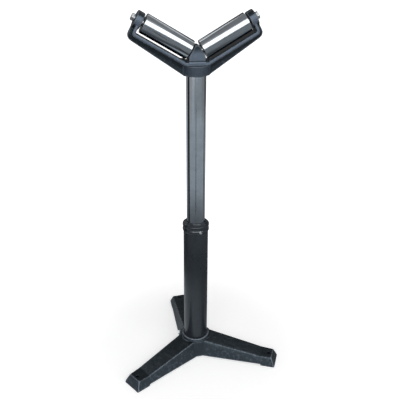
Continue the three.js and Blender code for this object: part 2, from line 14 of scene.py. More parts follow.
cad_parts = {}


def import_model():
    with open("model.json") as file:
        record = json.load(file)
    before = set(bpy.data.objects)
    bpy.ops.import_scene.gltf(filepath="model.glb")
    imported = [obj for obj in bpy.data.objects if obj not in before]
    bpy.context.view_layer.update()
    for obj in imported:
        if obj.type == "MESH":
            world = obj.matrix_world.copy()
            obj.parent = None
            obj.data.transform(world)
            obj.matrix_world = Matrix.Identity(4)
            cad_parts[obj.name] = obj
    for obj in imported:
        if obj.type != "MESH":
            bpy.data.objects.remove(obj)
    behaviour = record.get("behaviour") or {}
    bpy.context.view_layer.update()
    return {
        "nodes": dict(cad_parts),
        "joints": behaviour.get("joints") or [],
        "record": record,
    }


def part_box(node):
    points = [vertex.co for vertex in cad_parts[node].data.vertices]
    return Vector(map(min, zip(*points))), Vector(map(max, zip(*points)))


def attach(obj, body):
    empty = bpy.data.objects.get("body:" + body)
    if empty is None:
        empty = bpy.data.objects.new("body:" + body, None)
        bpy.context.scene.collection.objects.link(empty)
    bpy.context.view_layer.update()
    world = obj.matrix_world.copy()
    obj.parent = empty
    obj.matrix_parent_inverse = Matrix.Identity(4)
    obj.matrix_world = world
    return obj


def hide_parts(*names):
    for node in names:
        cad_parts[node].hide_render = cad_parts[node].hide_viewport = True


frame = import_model()

MM = 0.001
TURN = 2 * math.pi
UPRIGHT = Matrix.Identity(4)

NODES = frame["nodes"]
BEHAVIOUR = frame["record"]["behaviour"]
BODY_OF = {node: body for body, nodes in BEHAVIOUR["bodies"].items() for node in nodes}
JOINTS = {joint["name"]: joint for joint in frame["joints"]}

# The head: the rollers' axes meet on the stand's axis and rise outwards
AXES_MEET = JOINTS["right_roller_spin"]["pos_m"][2]
ROLLER_RISE = math.radians(30)

# The base: the directions of its legs in degrees, and the reach of the holes in its feet
LEG_TURNS = (-146.6, -26.6, 93.4)
FOOT_HOLE_REACH = 226.5 * MM

# Camera, from the perspective of the photograph
CAMERA_PLACE = Vector((-0.23433, -1.23776, 1.07392))
CAMERA_TURN = math.radians(-11.23)
CAMERA_DOWN = math.radians(24.59)
CAMERA_ROLL = math.radians(0.35)
CAMERA_LENS_MM = 46.163
SENSOR_MM = 36.0


def make_camera():
    """The camera stands at the viewer's place and looks down at the stand."""
    turn = Matrix.Rotation(CAMERA_TURN, 3, "Z")
    ahead = turn @ Vector((0, math.cos(CAMERA_DOWN), -math.sin(CAMERA_DOWN)))
    right = turn @ Vector((1, 0, 0))
    up = turn @ Vector((0, math.sin(CAMERA_DOWN), math.cos(CAMERA_DOWN)))
    rolled_right = math.cos(CAMERA_ROLL) * right + math.sin(CAMERA_ROLL) * up
    rolled_up = -math.sin(CAMERA_ROLL) * right + math.cos(CAMERA_ROLL) * up
    data = bpy.data.cameras.new("camera")
    data.sensor_width = SENSOR_MM
    data.lens = CAMERA_LENS_MM
    data.clip_start = 10 * MM
    camera = bpy.data.objects.new("camera", data)
    axes = Matrix((rolled_right, rolled_up, -ahead)).transposed().to_4x4()
    camera.matrix_world = Matrix.Translation(CAMERA_PLACE) @ axes
    bpy.context.scene.collection.objects.link(camera)
    bpy.context.scene.camera = camera


make_camera()


# Places and sizes, read from the frame

def axis_place(point, axis):
    """Maps the Z axis to an axis of the stand, given by a point and a direction."""
    turn = Vector(axis).to_track_quat("Z", "Y").to_matrix().to_4x4()
    return Matrix.Translation(Vector(point)) @ turn


def joint_place(name):
    return axis_place(JOINTS[name]["pos_m"], JOINTS[name]["axis"])


def radial_place(node):
    """Maps the Z axis to the level line from the stand's axis through a screw or bolt."""
    low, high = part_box(node)
    middle = (low + high) / 2
    return axis_place((0, 0, middle.z), (middle.x, middle.y, 0))


def sizes(node, place=UPRIGHT):
    """Where a node starts and ends along its own axis, and its least and greatest radius."""
    inverse = place.inverted()
    points = [inverse @ vertex.co for vertex in NODES[node].data.vertices]
    radii = [math.hypot(point.x, point.y) for point in points]
    heights = [point.z for point in points]
    return min(heights), max(heights), min(radii), max(radii)


# Mesh making

SMOOTH_LIMIT = math.radians(35)


def new_piece(name, bm, place=UPRIGHT):
    """A piece from a finished bmesh, shaded smooth except over sharp edges."""
    bmesh.ops.recalc_face_normals(bm, faces=bm.faces)
    for face in bm.faces:
        face.smooth = True
    for edge in bm.edges:
        edge.smooth = edge.calc_face_angle(0) < SMOOTH_LIMIT
    mesh = bpy.data.meshes.new(name)
    bm.to_mesh(mesh)
    bm.free()
    piece = bpy.data.objects.new(name, mesh)
    piece.matrix_world = place
    bpy.context.scene.collection.objects.link(piece)
    return piece


def at(value, angle):
    """The value of a number or of a function of the angle."""
    return value(angle) if callable(value) else value


def add_skin(bm, loops, segments, closed):
    """Adds a skin over loops round the Z axis. A loop is a radius and a height, each a number or
    a function of the angle. A radius of zero at an end closes the skin with a point."""
    rows = []
    for radius, height in loops:
        if not callable(radius) and radius == 0:
            rows.append([bm.verts.new((0, 0, at(height, 0)))])
            continue
        row = []
        for i in range(segments):
            angle = TURN * i / segments
            reach = at(radius, angle)
            spot = (reach * math.cos(angle), reach * math.sin(angle), at(height, angle))
            row.append(bm.verts.new(spot))
        rows.append(row)
    pairs = list(zip(rows, rows[1:]))
    if closed:
        pairs.append((rows[-1], rows[0]))
    for low, high in pairs:
        for i in range(segments):
            j = (i + 1) % segments
            corners = (low[i % len(low)], low[j % len(low)],
                       high[j % len(high)], high[i % len(high)])
            unique = list(dict.fromkeys(corners))
            if len(unique) > 2:
                bm.faces.new(unique)


def turned(name, loops, place=UPRIGHT, segments=96, closed=False):
    """A piece turned on the place's Z axis. A closed one runs from its last loop to its first."""
    bm = bmesh.new()
    add_skin(bm, loops, segments, closed)
    return new_piece(name, bm, place)


def rounded(corners):
    """The points of a closed section whose corners (radius, height, fillet) are rounded by arcs."""
    steps = 4
    points = []
    for i, (radius, height, fillet) in enumerate(corners):
        here = Vector((radius, height))
        before = Vector(corners[i - 1][:2])
        after = Vector(corners[(i + 1) % len(corners)][:2])
        back = (before - here).normalized()
        ahead = (after - here).normalized()
        half = back.angle(ahead) / 2
        centre = here + (back + ahead).normalized() * fillet / math.sin(half)
        start = here + back * fillet / math.tan(half) - centre
        end = here + ahead * fillet / math.tan(half) - centre
        for k in range(steps + 1):
            spoke = start.lerp(end, k / steps).normalized() * fillet
            points.append(tuple(centre + spoke))
    return points


def ring_section(low, high, bore, radius, fillet):
    corners = [(bore, low), (radius, low), (radius, high), (bore, high)]
    return rounded([(*corner, fillet) for corner in corners])


def applied(piece):
    """Makes a piece's modifiers part of its mesh."""
    graph = bpy.context.evaluated_depsgraph_get()
    mesh = bpy.data.meshes.new_from_object(piece.evaluated_get(graph))
    piece.modifiers.clear()
    piece.data = mesh


def bored(piece, place, radius, start, end):
    """Cuts a round hole along a place's Z axis."""
    loops = [(0, start), (radius, start), (radius, end), (0, end)]
    cutter = turned("cutter", loops, place, segments=48)
    modifier = piece.modifiers.new("bore", "BOOLEAN")
    modifier.object = cutter
    modifier.solver = "EXACT"
    applied(piece)
    bpy.data.objects.remove(cutter)


def dress(piece, node, material):
    """Puts a piece in the place of a node, on its body and in its material slot."""
    piece.data.materials.clear()
    piece.data.materials.append(material)
    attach(piece, BODY_OF[node])
    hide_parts(node)
    return piece


def hexagon(flats, corner_angle, shave=1):
    """The radius of a hexagon at an angle. Its corners are shaved off at a share of their reach."""
    corner = flats / 2 / math.cos(math.pi / 6) * shave

    def reach(angle):
        off_flat = (angle - corner_angle) % (TURN / 6) - TURN / 12
        return min(flats / 2 / math.cos(off_flat), corner)
    return reach


def outer_corner_angle(node, place):
    """The angle, about a place's Z axis, at which a node reaches out farthest."""
    inverse = place.inverted()
    points = [inverse @ vertex.co for vertex in NODES[node].data.vertices]
    far = max(points, key=lambda point: point.x ** 2 + point.y ** 2)
    return math.atan2(far.y, far.x)


def thread_loops(radius, start, end, pitch):
    """Loops of a right-hand thread whose depth fades out at both ends."""
    depth = 0.54 * pitch
    loops_per_turn = 6
    count = round((end - start) / pitch * loops_per_turn)
    loops = []
    for i in range(count + 1):
        height = start + (end - start) * i / count
        fade = min(1, (height - start) / pitch, (end - height) / pitch)

        def reach(angle, height=height, fade=fade):
            phase = (height / pitch - angle / TURN) % 1
            ridge = 1 - abs(2 * phase - 1)
            return radius - depth * fade * (1 - min(1, 1.25 * ridge))
        loops.append((reach, height))
    return loops


def hex_bolt(node, place, head_height, shank_radius, thread_length, pitch, material):
    """A hexagon bolt: rolled thread at the tip, plain shank, and a head with turned corners."""
    tip, top, _, corner = sizes(node, place)
    seat = top - head_height
    flats = 2 * corner * math.cos(math.pi / 6)
    reach = hexagon(flats, outer_corner_angle(node, place), shave=0.985)
    face = 0.475 * flats
    slope = math.tan(math.radians(30))
    edge = 0.18 * shank_radius
    loops = [(0, tip), (shank_radius - edge, tip)]
    loops += thread_loops(shank_radius, tip + edge, tip + thread_length, pitch)
    loops += [
        (shank_radius, seat - 0.2 * MM), (shank_radius + 0.2 * MM, seat),
        (face, seat), (face + 0.1 * MM, seat + 0.25 * MM),
        (lambda angle: reach(angle) - 0.15 * MM, seat + 0.3 * MM),
        (reach, seat + 0.45 * MM),
        (reach, lambda angle: top - (reach(angle) - face) * slope),
        (face, top - 0.04 * MM), (face - 0.3 * MM, top),
        (0.6 * face, top - 0.1 * MM), (0, top - 0.12 * MM),
    ]
    return dress(turned(node, loops, place), node, material)


def socket_screw(node, place, radius, tip_radius, tip_length, flats, depth, pitch, material):
    """A screw without a head: a turned-down tip, a full thread and a hexagon socket."""
    tip, top, _, _ = sizes(node, place)
    socket = hexagon(flats, 0)
    edge = 0.18 * radius
    bottom = top - depth
    loops = [
        (0, tip), (tip_radius - 0.3 * MM, tip), (tip_radius, tip + 0.3 * MM),
        (tip_radius, tip + tip_length),
    ]
    loops += thread_loops(radius, tip + tip_length, top - edge, pitch)
    loops += [
        (radius - edge, top), (lambda angle: socket(angle) + 0.35 * MM, top),
        (socket, top - 0.35 * MM), (socket, bottom), (0, bottom - 0.8 * MM),
    ]
    return dress(turned(node, loops, place), node, material)


# Materials. Object coordinates are metres, and Z is the axis of every turned piece.

class Finish:
    """A material and its nodes, built by short calls."""

    def __init__(self, name):
        self.material = bpy.data.materials.new(name)
        self.material.use_nodes = True
        tree = self.material.node_tree
        self.nodes = tree.nodes
        self.links = tree.links
        self.surface = tree.nodes["Principled BSDF"]
        self.place = self.node("TexCoord").outputs["Object"]

    def node(self, kind, inputs=None, **settings):
        node = self.nodes.new("ShaderNode" + kind)
        for key, value in settings.items():
            setattr(node, key, value)
        for key, value in (inputs or {}).items():
            self.give(node, key, value)
        return node

    def give(self, node, key, value):
        socket = node.inputs[key]
        if isinstance(value, bpy.types.NodeSocket):
            self.links.new(value, socket)
        else:
            socket.default_value = value

    def set(self, **inputs):
        for key, value in inputs.items():
            self.give(self.surface, key.replace("_", " "), value)

    def stretched(self, x, y, z):
        """Places for a pattern that is drawn out along the axes with small factors."""
        return self.node("Mapping", {"Vector": self.place, "Scale": (x, y, z)}).outputs["Vector"]

    def noise(self, size_mm, detail=3, roughness=0.55, vector=None):
        """Noise whose lumps are about this many millimetres wide."""
        node = self.node("TexNoise", {
            "Vector": self.place if vector is None else vector, "Scale": 1 / (size_mm * MM),
            "Detail": detail, "Roughness": roughness,
        })
        return node.outputs["Fac"]

    def spots(self, size_mm):
        """The distance from the nearest of many scattered points, in cells."""
        node = self.node("TexVoronoi", {"Vector": self.place, "Scale": 1 / (size_mm * MM)})
        return node.outputs["Distance"]

    def ramped(self, value, low, high, to_low=0, to_high=1):
        """Runs smoothly from one value to another while the input goes from low to high."""
        node = self.node("MapRange", {
            "Value": value, "From Min": low, "From Max": high, "To Min": to_low, "To Max": to_high,
        }, interpolation_type="SMOOTHSTEP")
        return node.outputs["Result"]

    def math(self, operation, first, second=0):
        node = self.node("Math", operation=operation)
        self.give(node, 0, first)
        self.give(node, 1, second)
        return node.outputs[0]

    def plus(self, first, second):
        return self.math("ADD", first, second)

    def times(self, first, second):
        return self.math("MULTIPLY", first, second)

    def length(self, vector):
        return self.node("VectorMath", {0: vector}, operation="LENGTH").outputs["Value"]

    def mixed(self, share, first, second):
        node = self.node("Mix", data_type="RGBA")
        self.give(node, 0, share)
        self.give(node, 6, first)
        self.give(node, 7, second)
        return node.outputs[2]

    def bumped(self, height, depth_mm, strength=1, normal=None):
        """A normal with a relief this many millimetres deep, on top of another if one is given."""
        node = self.node("Bump", {
            "Height": height, "Distance": depth_mm * MM, "Strength": strength,
        })
        if normal is not None:
            self.give(node, "Normal", normal)
        return node.outputs["Normal"]

    def attribute(self, name):
        return self.node("Attribute", attribute_name=name).outputs["Fac"]

    def from_axis(self):
        """The distance from the piece's own Z axis."""
        flat = self.node("VectorMath", {0: self.place, 1: (1, 1, 0)}, operation="MULTIPLY")
        return self.length(flat.outputs["Vector"])

    def facing_up(self):
        normal = self.node("NewGeometry").outputs["Normal"]
        return self.node("SeparateXYZ", {"Vector": normal}).outputs["Z"]


def cast_enamel(name, side_light_fleck_share, gloss, wear_highlight_share):
    """Dark blue-grey enamel over a sand casting: lumps and pits, thinner and brighter on edges,
    where the brightness is partly wear and partly a painted edge highlight. Steep faces beyond the
    hub keep the sand's texture, which shows as paler flecks; these are also painted light, making
    the sides lighter than the tops and the hub. One attribute is 1 on faces ground flat, whose
    paler colour is partly a painted highlight. Another is 1 on edges and below 0 in the holes of
    the feet, whose rims are kept dark and dull as painted shade."""
    finish = Finish(name)
    lumps = finish.noise(9, detail=3)
    grain = finish.noise(1.1, detail=4, roughness=0.6)
    pits = finish.ramped(finish.spots(4.5), 0.05, 0.2)
    mottle = finish.noise(14, detail=5, roughness=0.65)
    ground_face_highlight = finish.attribute("ground_face_highlight")
    rubbed_and_highlit = finish.attribute("worn_edge_highlight")
    worn_edge_highlight = finish.ramped(finish.plus(rubbed_and_highlit, finish.times(finish.noise(5), 0.5)), 0.5, 0.85)
    settled = finish.times(finish.facing_up(), finish.noise(25, detail=5))
    dust = finish.ramped(settled, 0.45, 0.75)
    steep = finish.ramped(finish.math("ABSOLUTE", finish.facing_up()), 0.3, 0.9, 1, 0)
    beyond_hub = finish.ramped(finish.from_axis(), 52 * MM, 60 * MM)
    sand = finish.ramped(finish.noise(8, detail=4, roughness=0.6), 0.5, 0.66)
    # Sand texture, and painted light: steep faces beyond the hub come out lighter than the tops and
    # the hub.
    sand_flecks_and_side_light = finish.times(beyond_hub, finish.times(steep, sand))

    smooth = finish.mixed(mottle, (0.006, 0.009, 0.011, 1), (0.010, 0.014, 0.017, 1))
    flecked = finish.mixed(finish.times(sand_flecks_and_side_light, side_light_fleck_share), smooth, (0.055, 0.066, 0.084, 1))
    # Ground faces are paler: partly their finish, partly a painted highlight.
    highlighted = finish.mixed(ground_face_highlight, flecked, (0.09, 0.112, 0.152, 1))
    dusty = finish.mixed(finish.times(dust, 0.04), highlighted, (0.2, 0.195, 0.18, 1))
    # Brighter edges: partly wear, partly a painted edge highlight.
    worn_and_highlit = finish.mixed(finish.times(worn_edge_highlight, wear_highlight_share), dusty, (0.2, 0.23, 0.27, 1))

    sandy = finish.plus(finish.ramped(mottle, 0.3, 0.7, 0.16, 0.22), finish.times(steep, 0.26))
    roughness = finish.plus(sandy, finish.times(dust, 0.06))
    lumpy = finish.bumped(lumps, 0.7, finish.ramped(steep, 0, 1, 0.35, 1))
    pitted = finish.bumped(pits, 0.1, 0.6, lumpy)
    grained = finish.bumped(grain, 0.05, finish.ramped(steep, 0, 1, 0.25, 0.7), pitted)
    # The rims of the feet's holes lose their gloss, as painted shade.
    outside_hole_shade = finish.ramped(rubbed_and_highlit, -1, -0.3, 0.05, gloss)
    finish.set(Base_Color=worn_and_highlit, Roughness=roughness, Normal=grained,
               Specular_IOR_Level=finish.ramped(ground_face_highlight, 0, 1, outside_hole_shade, 0.9),
               Specular_Tint=(0.68, 0.85, 1, 1))
    return finish.material


def tube_enamel(name, rough, coat):
    """Smooth dark enamel over steel: a faint orange peel, fine dust and a few fine scratches."""
    finish = Finish(name)
    peel = finish.noise(2.6, detail=2)
    waves = finish.noise(30, detail=2, vector=finish.stretched(1, 1, 0.35))
    strokes = finish.noise(1.5, detail=2, vector=finish.stretched(1.4, 1.4, 0.05))
    scratches = finish.ramped(strokes, 0.68, 0.74)
    tint = finish.noise(40, detail=4)
    paint = finish.mixed(tint, (0.016, 0.020, 0.026, 1), (0.024, 0.029, 0.037, 1))
    marked = finish.mixed(finish.times(scratches, 0.25), paint, (0.13, 0.135, 0.14, 1))
    level = finish.ramped(tint, 0.3, 0.7, rough * 0.85, rough * 1.15)
    roughness = finish.plus(level, finish.times(scratches, 0.1))
    peeled = finish.bumped(peel, 0.02, 0.5, finish.bumped(waves, 0.12))
    finish.set(Base_Color=marked, Roughness=roughness, Normal=peeled,
               Specular_IOR_Level=0.5, Specular_Tint=(0.8, 0.92, 1, 1),
               Coat_Weight=coat, Coat_Roughness=0.12)
    return finish.material


def turned_metal(name, dark, light, rough, line_mm, line_depth_mm, anisotropy):
    """Bare metal with tool lines that run round the Z axis, and thin stains."""
    finish = Finish(name)
    lines = finish.noise(line_mm, detail=4, roughness=0.7, vector=finish.stretched(0.02, 0.02, 1))
    stains = finish.noise(22, detail=5, roughness=0.6)
    smears = finish.noise(6, detail=3, vector=finish.stretched(0.5, 0.5, 1))
    metal = finish.mixed(finish.ramped(stains, 0.3, 0.75), light, dark)
    shade = finish.plus(finish.times(lines, 0.1), finish.ramped(smears, 0.3, 0.7, 0, 0.05))
    lined = finish.mixed(shade, metal, (dark[0] * 0.6, dark[1] * 0.6, dark[2] * 0.6, 1))
    blend = finish.plus(finish.times(lines, 0.5), finish.times(stains, 0.5))
    roughness = finish.ramped(blend, 0.3, 0.7, rough * 0.85, rough * 1.2)
    tangent = finish.node("Tangent", direction_type="RADIAL", axis="Z").outputs["Tangent"]
    finish.set(Base_Color=lined, Metallic=1.0, Roughness=roughness,
               Normal=finish.bumped(lines, line_depth_mm),
               Anisotropic=anisotropy, Anisotropic_Rotation=0.25, Tangent=tangent)
    return finish.material


def zinc_steel():
    """Zinc plating with its fine crystals and a faint blue tint."""
    finish = Finish("zinc_steel")
    crystals = finish.noise(0.7, detail=3)
    cloud = finish.noise(7, detail=4)
    clouded = finish.ramped(cloud, 0.35, 0.65)
    tint = finish.mixed(clouded, (0.60, 0.63, 0.66, 1), (0.62, 0.64, 0.64, 1))
    grey = finish.times(finish.ramped(crystals, 0.5, 0.8), 0.3)
    dull = finish.mixed(grey, tint, (0.4, 0.41, 0.42, 1))
    finish.set(Base_Color=dull, Metallic=1.0, Roughness=finish.ramped(cloud, 0.3, 0.7, 0.24, 0.36),
               Normal=finish.bumped(crystals, 0.015, 0.6))
    return finish.material


def nylon():
    """Milky nylon with fine turning lines."""
    finish = Finish("nylon")
    lines = finish.noise(0.5, detail=3, vector=finish.stretched(0.02, 0.02, 1))
    cloud = finish.noise(12, detail=4)
    finish.set(Base_Color=finish.mixed(cloud, (0.66, 0.65, 0.60, 1), (0.74, 0.73, 0.69, 1)),
               Roughness=finish.ramped(cloud, 0.3, 0.7, 0.42, 0.55),
               Normal=finish.bumped(lines, 0.03),
               Subsurface_Weight=0.15, Subsurface_Scale=2 * MM)
    return finish.material


BASE_CAST = cast_enamel("base_enamel", side_light_fleck_share=0.9, gloss=0.9, wear_highlight_share=0.8)
YOKE_CAST = cast_enamel("yoke_enamel", side_light_fleck_share=0.25, gloss=0.5, wear_highlight_share=0.4)
TUBE_ENAMEL = tube_enamel("tube_enamel", rough=0.31, coat=0.4)
COLLAR_ENAMEL = tube_enamel("collar_enamel", rough=0.14, coat=0.5)
ROLLER_STEEL = turned_metal(
    "ground_steel", (0.42, 0.46, 0.50, 1), (0.50, 0.54, 0.58, 1),
    rough=0.13, line_mm=0.35, line_depth_mm=0.002, anisotropy=0.6)
COLUMN_STEEL = turned_metal(
    "column_steel", (0.66, 0.73, 0.80, 1), (0.78, 0.85, 0.92, 1),
    rough=0.1, line_mm=0.35, line_depth_mm=0.002, anisotropy=0.6)
BEARING_STEEL = turned_metal(
    "bearing_steel", (0.40, 0.40, 0.41, 1), (0.52, 0.52, 0.53, 1),
    rough=0.2, line_mm=0.5, line_depth_mm=0.004, anisotropy=0.4)
BRASS = turned_metal(
    "brass", (0.50, 0.33, 0.10, 1), (0.62, 0.43, 0.15, 1),
    rough=0.3, line_mm=0.6, line_depth_mm=0.01, anisotropy=0.3)
BRONZE = turned_metal(
    "bronze", (0.36, 0.21, 0.09, 1), (0.48, 0.29, 0.13, 1),
    rough=0.34, line_mm=0.6, line_depth_mm=0.01, anisotropy=0.3)
ZINC = zinc_steel()
NYLON = nylon()


# Castings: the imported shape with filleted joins, softened edges and shallow lumps

FULL_WEAR_HIGHLIGHT = 9  # Edge wear and painted edge highlight for each voxel that a point stands out from its neighbours


def neighbour_mean(values, edges, counts):
    """The mean, for every vertex, of its neighbours' values."""
    total = np.zeros_like(values)
    np.add.at(total, edges[:, 0], values[edges[:, 1]])
    np.add.at(total, edges[:, 1], values[edges[:, 0]])
    return total / (counts if values.ndim == 1 else counts[:, None])


def below_axes(points):
    """How far the yoke's points lie below the rollers' axes, square to them."""
    rise = points[:, 2] - AXES_MEET
    return np.abs(points[:, 0]) * math.sin(ROLLER_RISE) - rise * math.cos(ROLLER_RISE)


def drafted(points, _normals):
    """The yoke's web thins from the flange to its lower edge, as it leaves the mould, and a low
    rib on the flange stiffens the foot of the post."""
    reach = np.abs(points[:, 0])
    across = np.abs(points[:, 1])
    rise = points[:, 2] - AXES_MEET
    lower_web = np.interp(below_axes(points), (38 * MM, 47 * MM), (0, 1))
    beside_boss = np.interp(reach, (31 * MM, 37 * MM), (0, 1))
    web_half_width = 7 * MM
    thinning = 0.55 * lower_web * beside_boss * (across < web_half_width)

    rib_top = -11 * MM
    rib_height = 4.5 * MM
    rib_along = np.interp(reach, (17 * MM, 21 * MM, 38 * MM, 43 * MM), (0, 1, 1, 0))
    rib_across = np.interp(across, (13 * MM, 16 * MM), (1, 0))
    flange_top = np.interp(rise, (-19 * MM, -16 * MM), (0, 1))
    raised = np.clip(rib_top - rise, 0, rib_height) * rib_along * rib_across * flange_top
    points[:, 2] += raised
    points[:, 1] *= 1 - thinning


def ground_face_highlight_share(points, normals):
    """How far each point of the yoke lies on a face ground flat, whose paler colour is partly a
    painted highlight: the upper flanges, the ears and the post, down to a dark line of painted
    shade at the post's foot. The boss is only cleaned."""
    reach = np.abs(points[:, 0])
    rise = points[:, 2] - AXES_MEET
    facing_out = np.interp(np.abs(normals[:, 1]), (0.8, 0.95), (0, 1))
    flat = facing_out * (np.abs(points[:, 1]) > 9 * MM)
    upper_rim = np.interp(below_axes(points), (34 * MM, 36.5 * MM), (1, 0))
    boss = (reach < 34 * MM) & (rise < -26 * MM)
    post = (reach < 24 * MM) & (rise > -18 * MM)
    under_top = points[post, 2].max() - points[:, 2]
    post_foot = np.interp(under_top, (8 * MM, 20 * MM), (0, 1))
    # A gap in the paler colour at the post's foot leaves a dark line of painted shade.
    beside_shade_line = np.interp(np.abs(rise + 15.5 * MM), (0.45 * MM, 1.95 * MM), (0, 1))
    share = np.where(post, post_foot, upper_rim) * np.where(reach < 26 * MM, beside_shade_line, 1)
    return np.where(boss, 0.4, flat * share)


def webbed(points, normals):
    """Between two legs the hub shows as a narrow flat, down to the floor."""
    foot_reach, lean, half_width, top, deepest = 54.5 * MM, 0.19, 14 * MM, 50 * MM, 6 * MM
    rise = points[:, 2]
    for turn in LEG_TURNS:
        opposite = math.radians(turn + 180)
        out = np.array((math.cos(opposite), math.sin(opposite), 0))
        away = points @ out
        side = np.abs(points[:, 1] * out[0] - points[:, 0] * out[1])
        outside = (normals @ out > 0.2) & (away > 30 * MM) & (side < half_width) & (rise < top)
        short = np.clip(foot_reach - lean * rise - away, 0, deepest) * outside
        points += short[:, None] * out


def in_foot_hole_shade(points):
    """1 in and beside the holes in the feet, whose rims lose their bright edges and gloss as
    painted shade.
    """
    gaps = []
    for turn in LEG_TURNS:
        angle = math.radians(turn)
        gaps.append(np.hypot(points[:, 0] - FOOT_HOLE_REACH * math.cos(angle),
                             points[:, 1] - FOOT_HOLE_REACH * math.sin(angle)))
    return np.interp(np.min(gaps, axis=0), (7 * MM, 9.5 * MM), (1, 0))


def read_values(data, name, shape, kind=float):
    """One value or point for each element of a mesh."""
    values = np.empty(len(data) * shape, dtype=kind)
    data.foreach_get(name, values)
    return values.reshape(-1, shape)


def write_attribute(mesh, name, values):
    attribute = mesh.attributes.new(name, "FLOAT", "POINT")
    attribute.data.foreach_set("value", values.astype(np.float32))


def lump(point):
    """The height of the casting's lumps at a point, as a share."""
    per_metre, falloff, step, octaves = 70, 0.7, 2.1, 4
    return noise.fractal(point * per_metre, falloff, step, octaves)


def cast_piece(node, voxel_mm, smoothing, lump_mm, material, shaped, ground_highlight_share=None):
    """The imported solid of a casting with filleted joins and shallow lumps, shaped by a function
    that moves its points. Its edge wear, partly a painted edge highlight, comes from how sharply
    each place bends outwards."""
    source = NODES[node]
    piece = bpy.data.objects.new(node, source.data.copy())
    piece.matrix_world = source.matrix_world
    bpy.context.scene.collection.objects.link(piece)
    remesh = piece.modifiers.new("cast", "REMESH")
    remesh.mode = "VOXEL"
    remesh.voxel_size = voxel_mm * MM * 1
    smooth = piece.modifiers.new("fillets", "SMOOTH")
    smooth.iterations = smoothing
    smooth.factor = 0.5
    applied(piece)

    mesh = piece.data
    count = len(mesh.vertices)
    points = read_values(mesh.vertices, "co", 3)
    normals = read_values(mesh.vertices, "normal", 3)
    edges = read_values(mesh.edges, "vertices", 2, int)
    counts = np.maximum(np.bincount(edges.ravel(), minlength=count), 1)
    lifted = ((points - neighbour_mean(points, edges, counts)) * normals).sum(axis=1)
    bend = lifted / (voxel_mm * MM)
    for _ in range(3):
        bend = neighbour_mean(bend, edges, counts)
    lumps = np.array([lump(Vector(point)) for point in points])
    points += normals * (lumps * lump_mm * MM)[:, None]
    shaped(points, normals)
    low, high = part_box(node)
    points = np.clip(points, np.array(low), np.array(high))
    mesh.vertices.foreach_set("co", points.ravel())
    highlighted = ground_highlight_share(points, normals) if ground_highlight_share else np.zeros(count)
    write_attribute(mesh, "ground_face_highlight", highlighted)
    write_attribute(mesh, "worn_edge_highlight", np.clip(bend * FULL_WEAR_HIGHLIGHT, 0, 1) - in_foot_hole_shade(points))
    mesh.polygons.foreach_set("use_smooth", [True] * len(mesh.polygons))
    mesh.update()
    return dress(piece, node, material)


cast_piece("base_casting", voxel_mm=1.4, smoothing=1, lump_mm=0.12, material=BASE_CAST,
           shaped=webbed)
cast_piece("yoke_casting", voxel_mm=1.1, smoothing=2, lump_mm=0.06, material=YOKE_CAST,
           shaped=drafted, ground_highlight_share=ground_face_highlight_share)


# Tube, collar and column

TUBE_WALL = 4 * MM
PIN_HOLE_RADIUS = 2.2 * MM
SCREW_HOLE_RADIUS = 4.3 * MM


def arc(centre, wide, tall, start, end, steps=12):
    """Points of a section on an ellipse. Angles are in degrees and run up from the outside."""
    points = []
    for i in range(steps + 1):
        angle = math.radians(start + (end - start) * i / steps)
        points.append((centre[0] + wide * math.cos(angle), centre[1] + tall * math.sin(angle)))
    return points


def upright_tube():
    """The tube, whose paint stands out above the length that fits in the hub."""
    low, high, _, radius = sizes("upright_tube")
    bore = radius - TUBE_WALL
    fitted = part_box("base_casting")[1].z - 4 * MM
    painted = radius + 0.5 * MM
    section = rounded([
        (bore, low, 0.5 * MM), (radius, low, 0.5 * MM), (radius, fitted, 0.1 * MM),
        (painted, fitted, 0.1 * MM), (painted, high, 0.4 * MM), (bore, high, 0.5 * MM),
    ])
    piece = turned("upright_tube", section, segments=128, closed=True)
    bored(piece, radial_place("hub_bolt"), SCREW_HOLE_RADIUS, 20 * MM, 60 * MM)
    return dress(piece, "upright_tube", TUBE_ENAMEL)


def guide_collar():
    """A spigot that fits the tube, and a head over it with two beads, a groove between them, and
    a dome whose top steps down to the bore. Its numbers are millimetres above the head's foot."""
    spigot = [(25.3, -9.4), (25.9, -10), (28.9, -10), (29.4, -9.5), (29.4, 0)]
    skirt = [(34, 0), (34.3, 0.3), (34.3, 1.3)]
    lower_bead = arc((34.5, 6.2), 2.3, 4.9, -85, 65)
    groove = [(34.9, 11.9), (34.6, 12.9), (34.9, 14)]
    upper_bead = arc((34.5, 19.5), 2.3, 5.1, -65, 0)
    dome = arc((34.3, 19.5), 2.5, 4.6, 5, 50, 5)
    steps = [
        (34, 24.2), (32.7, 25.9), (31.7, 26.4), (31, 26), (30.5, 26.3), (29.6, 27.9),
        (28.7, 28.8), (28, 29), (27.5, 28.6), (27.1, 29), (26.7, 29.9), (26.1, 30.1),
        (25.6, 29.8), (25.3, 29),
    ]
    outline = spigot + skirt + lower_bead + groove + upper_bead + dome + steps
    head = sizes("guide_collar")[0] + 10 * MM
    section = [(radius * MM, head + height * MM) for radius, height in outline]
    piece = turned("guide_collar", section, segments=128, closed=True)
    bored(piece, radial_place("lock_screw"), SCREW_HOLE_RADIUS, 20 * MM, 45 * MM)
    return dress(piece, "guide_collar", COLLAR_ENAMEL)


